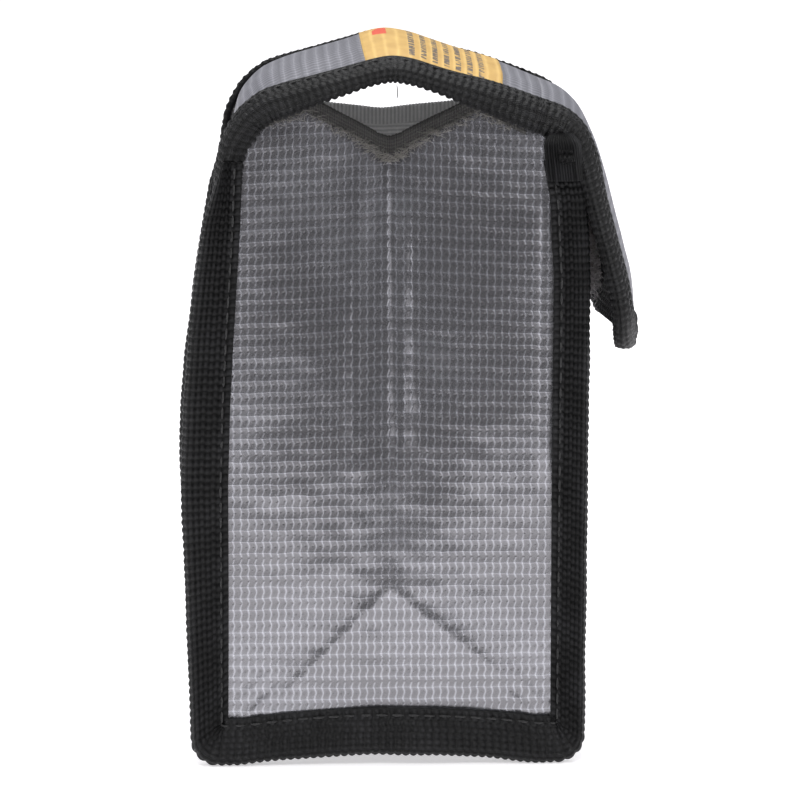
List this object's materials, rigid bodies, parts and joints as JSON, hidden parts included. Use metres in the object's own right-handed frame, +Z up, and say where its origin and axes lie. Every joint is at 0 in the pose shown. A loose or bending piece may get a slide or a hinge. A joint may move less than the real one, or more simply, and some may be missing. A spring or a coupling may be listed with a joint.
{
  "type": "battery safety bag",
  "caption": "Small upright fire-resistant cloth bag for storing or charging a lithium battery, with bound end seams and a lid that folds over the mouth to a touch-fastened tongue.",
  "frame": {"origin": "on the surface that the bag stands on, under the middle of the whole object's box", "axes": "+X from the back wall to the front wall where the tongue hangs, +Y from the near end panel to the far one, +Z up"},
  "size_m": [0.0836, 0.0536, 0.1293],
  "materials": {
    "silver_cloth": "silver laminated glass cloth, satin, with a ribbed grid",
    "glass_lining": "plain woven glass cloth, dull grey",
    "black_tape": "ribbed polyester binding tape, matte black",
    "grey_edge_tape": "narrow woven edge tape, dark grey",
    "loop_pile": "soft loop pile, grey",
    "hook_tape": "nylon hook tape, grey",
    "label_film": "printed film label, amber, satin",
    "black_thread": "bonded sewing thread, black"
  },
  "bodies": {
    "bag": {"front_panel": "silver_cloth", "back_panel": "silver_cloth", "bottom_panel": "silver_cloth", "near_end_panel": "silver_cloth", "far_end_panel": "silver_cloth", "front_lining": "glass_lining", "back_lining": "glass_lining", "bottom_lining": "glass_lining", "near_end_lining": "glass_lining", "far_end_lining": "glass_lining", "near_end_hem": "grey_edge_tape", "far_end_hem": "grey_edge_tape", "front_hem": "grey_edge_tape", "near_binding": "black_tape", "far_binding": "black_tape", "near_tape_end": "black_tape", "far_tape_end": "black_tape", "near_seam_thread": "black_thread", "far_seam_thread": "black_thread", "loop_patch": "loop_pile"},
    "lid": {"lid_panel": "silver_cloth", "lid_lining": "glass_lining", "lid_near_binding": "black_tape", "lid_far_binding": "black_tape", "lid_near_thread": "black_thread", "lid_far_thread": "black_thread", "label": "label_film"},
    "tongue": {"tongue_panel": "silver_cloth", "tongue_lining": "glass_lining", "tongue_binding": "black_tape", "tongue_thread": "black_thread", "hook_strip": "hook_tape"}
  },
  "joints": [
    {"name": "lid_lift", "type": "hinge", "parent": "bag", "child": "lid", "pos_m": [-0.03111, 0, 0.12], "axis": [0, -1, 0], "range_deg": [0, 178]},
    {"name": "tongue_fold", "type": "hinge", "parent": "lid", "child": "tongue", "pos_m": [0.03079, 0, 0.118], "axis": [0, -1, 0], "range_deg": [0, 178]}
  ]
}
